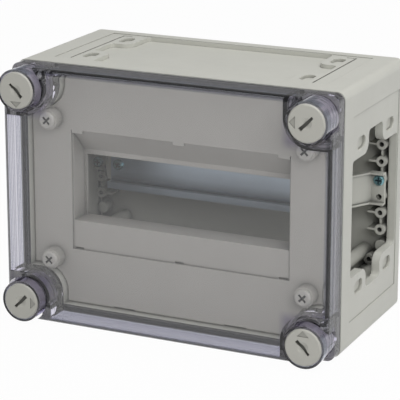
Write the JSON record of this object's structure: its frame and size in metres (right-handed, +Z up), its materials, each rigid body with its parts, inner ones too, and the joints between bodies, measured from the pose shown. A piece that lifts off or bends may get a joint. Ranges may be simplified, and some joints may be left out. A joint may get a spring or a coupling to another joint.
{
  "type": "din rail enclosure",
  "caption": "Moulded surface-mounting enclosure with a clear latched lid, a hooded device window and a top-hat rail on offset brackets.",
  "frame": {"origin": "middle of the lowest face of the bounding box", "axes": "+Z up, +X along the width to the right of someone facing the lid, -Y out through the lid, +Y through the back wall"},
  "size_m": [0.25, 0.15, 0.1875],
  "materials": {
    "grey_moulding": "fine satin grain, light warm grey",
    "cover_moulding": "fine satin grain, light warm grey",
    "clear_moulding": "clear polished plastic with a faint violet edge",
    "latch_moulding": "satin, light warm grey",
    "screw_moulding": "satin, warm grey",
    "seal_rubber": "matt foam rubber",
    "zinc_plated_steel": "bright zinc plating",
    "zinc_plated_screws": "blue passivated zinc plating"
  },
  "bodies": {
    "enclosure": {"base_box": "grey_moulding", "left_closing_plate": "grey_moulding", "top_closing_plate": "grey_moulding", "bottom_closing_plate": "grey_moulding", "inner_cover": "cover_moulding", "cover_screw_top_left": "screw_moulding", "cover_screw_top_right": "screw_moulding", "cover_screw_bottom_left": "screw_moulding", "cover_screw_bottom_right": "screw_moulding", "lid_seal": "seal_rubber", "din_rail": "zinc_plated_steel", "rail_bracket_left": "zinc_plated_steel", "rail_bracket_right": "zinc_plated_steel", "bracket_screw_left": "zinc_plated_screws", "bracket_screw_right": "zinc_plated_screws", "rail_screw_left": "zinc_plated_screws", "rail_screw_right": "zinc_plated_screws"},
    "lid": {"lid": "clear_moulding"},
    "latch_top_left": {"latch_top_left": "latch_moulding"},
    "latch_top_right": {"latch_top_right": "latch_moulding"},
    "latch_bottom_left": {"latch_bottom_left": "latch_moulding"},
    "latch_bottom_right": {"latch_bottom_right": "latch_moulding"}
  },
  "joints": [
    {"name": "lid_lift_off", "type": "slide", "parent": "enclosure", "child": "lid", "axis": [0, -1, 0], "range_m": [0, 0.08]},
    {"name": "latch_turn_top_left", "type": "hinge", "parent": "lid", "child": "latch_top_left", "pos_m": [-0.1095, -0.0435, 0.17175], "axis": [0, 1, 0], "range_deg": [0, 90]},
    {"name": "latch_turn_top_right", "type": "hinge", "parent": "lid", "child": "latch_top_right", "pos_m": [0.1095, -0.0435, 0.17175], "axis": [0, 1, 0], "range_deg": [0, 90]},
    {"name": "latch_turn_bottom_left", "type": "hinge", "parent": "lid", "child": "latch_bottom_left", "pos_m": [-0.1095, -0.0435, 0.01575], "axis": [0, 1, 0], "range_deg": [0, 90]},
    {"name": "latch_turn_bottom_right", "type": "hinge", "parent": "lid", "child": "latch_bottom_right", "pos_m": [0.1095, -0.0435, 0.01575], "axis": [0, 1, 0], "range_deg": [0, 90]}
  ]
}
